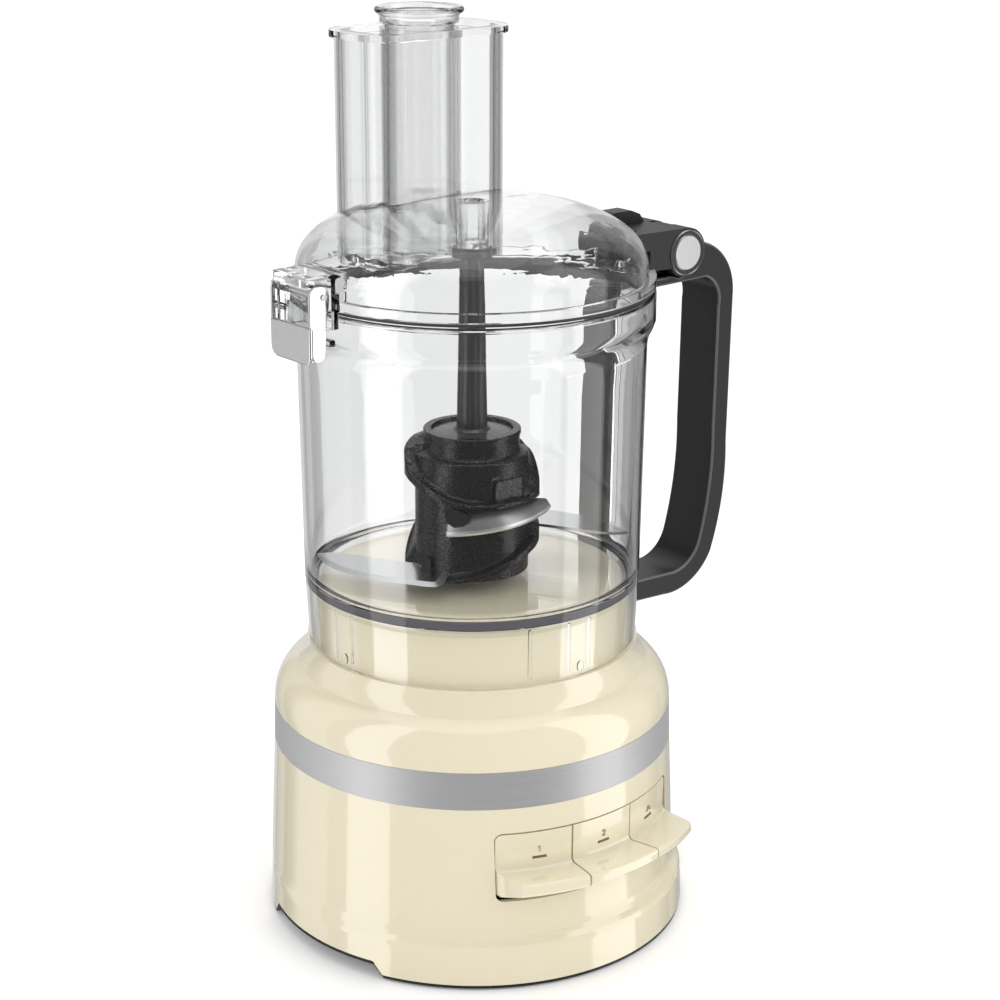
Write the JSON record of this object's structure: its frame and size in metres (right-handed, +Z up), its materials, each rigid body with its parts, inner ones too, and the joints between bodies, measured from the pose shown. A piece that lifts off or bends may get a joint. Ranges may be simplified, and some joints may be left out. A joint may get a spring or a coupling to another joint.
{
  "type": "food processor",
  "caption": "Round motor base with front press paddles, clear work bowl with side handle and S-shaped blade, and a hinged, latched clear lid with a feed tube and nested pushers",
  "frame": {"origin": "where the axis of the bowl and spindle meets the table, in the plane of the foot ring's underside", "axes": "+Z up along the bowl's axis; -Y towards the paddles at the front; +X towards the handle and lid hinge; the latch is at -X and the feed tube behind the axis at +Y"},
  "size_m": [0.2636, 0.2183, 0.437],
  "materials": {
    "cream_plastic": "glossy",
    "brushed_band": "brushed round",
    "dark_plastic": "matt",
    "soft_rubber": "matt",
    "zinc_steel": "plated",
    "cast_aluminium": "as cast",
    "bearing_steel": "ground",
    "lamination_steel": "stacked sheet",
    "copper_wire": "enamelled",
    "brass_part": "satin",
    "carbon": "pressed carbon",
    "board_green": "satin",
    "spring_steel": "drawn",
    "shaft_steel": "ground",
    "copper_segments": "turned",
    "clear_plastic": "polished clear",
    "grip_plastic": "satin",
    "grip_soft": "semi-gloss",
    "spine_plastic": "semi-gloss",
    "chromed": "polished",
    "seal_rubber": "satin",
    "hub_plastic": "fine texture",
    "blade_steel": "brushed, ground edge",
    "lens_brown": "smooth"
  },
  "bodies": {
    "base": {"base_housing": "cream_plastic", "trim_band": "brushed_band", "base_plate": "dark_plastic", "foot_ring": "soft_rubber", "base_screws": "zinc_steel", "cord_inlet": "soft_rubber", "chassis_plate": "cast_aluminium", "chassis_screws": "zinc_steel", "ball_bearings": "bearing_steel", "spindle_seal": "soft_rubber", "drive_belt": "soft_rubber", "stator_core": "lamination_steel", "field_coils": "copper_wire", "motor_bracket": "cast_aluminium", "motor_bolts": "zinc_steel", "brush_holders": "brass_part", "carbon_brushes": "carbon", "switch_bracket": "dark_plastic", "paddle_pins": "zinc_steel", "microswitches": "dark_plastic", "control_board": "board_green", "spring_1": "spring_steel", "spring_2": "spring_steel", "spring_pulse": "spring_steel"},
    "spindle": {"drive_spindle": "shaft_steel", "large_pulley": "dark_plastic", "drive_coupling": "dark_plastic"},
    "motor": {"motor_shaft": "shaft_steel", "rotor_core": "lamination_steel", "rotor_windings": "copper_wire", "commutator": "copper_segments", "cooling_fan": "dark_plastic", "small_pulley": "dark_plastic"},
    "bowl": {"bowl": "clear_plastic", "handle": "grip_plastic", "handle_cover": "grip_soft", "handle_spine": "spine_plastic", "handle_screws": "zinc_steel", "hinge_pin": "shaft_steel", "hinge_caps": "chromed"},
    "lid": {"lid": "clear_plastic", "lid_seal": "seal_rubber", "lid_bush": "dark_plastic", "hinge_bracket": "grip_plastic", "bracket_screws": "zinc_steel", "latch_pin": "shaft_steel"},
    "latch": {"latch_lever": "chromed"},
    "large_pusher": {"large_pusher": "clear_plastic"},
    "small_pusher": {"small_pusher": "clear_plastic"},
    "blade": {"blade_hub": "hub_plastic", "lower_blade": "blade_steel", "upper_blade": "blade_steel", "drive_stem": "hub_plastic"},
    "paddle_1": {"paddle_1": "cream_plastic", "lens_1": "lens_brown"},
    "paddle_2": {"paddle_2": "cream_plastic", "lens_2": "lens_brown"},
    "paddle_pulse": {"paddle_pulse": "cream_plastic", "lens_pulse": "lens_brown"}
  },
  "joints": [
    {"name": "motor_spin", "type": "hinge", "parent": "base", "child": "motor", "pos_m": [0, 0.048, 0.06], "axis": [0, 0, 1], "continuous": true},
    {"name": "spindle_spin", "type": "hinge", "parent": "base", "child": "spindle", "pos_m": [0, 0, 0.1], "axis": [0, 0, 1], "continuous": true},
    {"name": "bowl_lift", "type": "slide", "parent": "base", "child": "bowl", "axis": [0, 0, 1], "range_m": [0, 0.11]},
    {"name": "blade_spin", "type": "hinge", "parent": "bowl", "child": "blade", "pos_m": [0, 0, 0.2], "axis": [0, 0, 1], "continuous": true},
    {"name": "lid_open", "type": "hinge", "parent": "bowl", "child": "lid", "pos_m": [0.122, 0, 0.314], "axis": [0, 1, 0], "range_deg": [0, 90]},
    {"name": "latch_open", "type": "hinge", "parent": "lid", "child": "latch", "pos_m": [-0.0955, 0, 0.322], "axis": [0, 1, 0], "range_deg": [0, 35]},
    {"name": "large_pusher_lift", "type": "slide", "parent": "lid", "child": "large_pusher", "axis": [0, 0, 1], "range_m": [0, 0.1]},
    {"name": "small_pusher_lift", "type": "slide", "parent": "large_pusher", "child": "small_pusher", "axis": [0, 0, 1], "range_m": [0, 0.1]},
    {"name": "paddle_1_press", "type": "hinge", "parent": "base", "child": "paddle_1", "pos_m": [-0.02858, -0.07686, 0.07], "axis": [0.9373, -0.3486, 0], "range_deg": [0, 3.5], "stiffness_Nm_per_rad": 0.6, "springref_deg": -6.88, "deforming": ["spring_1"]},
    {"name": "paddle_2_press", "type": "hinge", "parent": "base", "child": "paddle_2", "pos_m": [0, -0.082, 0.07], "axis": [1, 0, 0], "range_deg": [0, 3.5], "stiffness_Nm_per_rad": 0.6, "springref_deg": -6.88, "deforming": ["spring_2"]},
    {"name": "paddle_pulse_press", "type": "hinge", "parent": "base", "child": "paddle_pulse", "pos_m": [0.02858, -0.07686, 0.07], "axis": [0.9373, 0.3486, 0], "range_deg": [0, 3.5], "stiffness_Nm_per_rad": 0.6, "springref_deg": -6.88, "deforming": ["spring_pulse"]}
  ],
  "couplings": [
    {"joint": "spindle_spin", "follows": "motor_spin", "ratio": 0.22222},
    {"joint": "blade_spin", "follows": "motor_spin", "ratio": 0.22222}
  ]
}
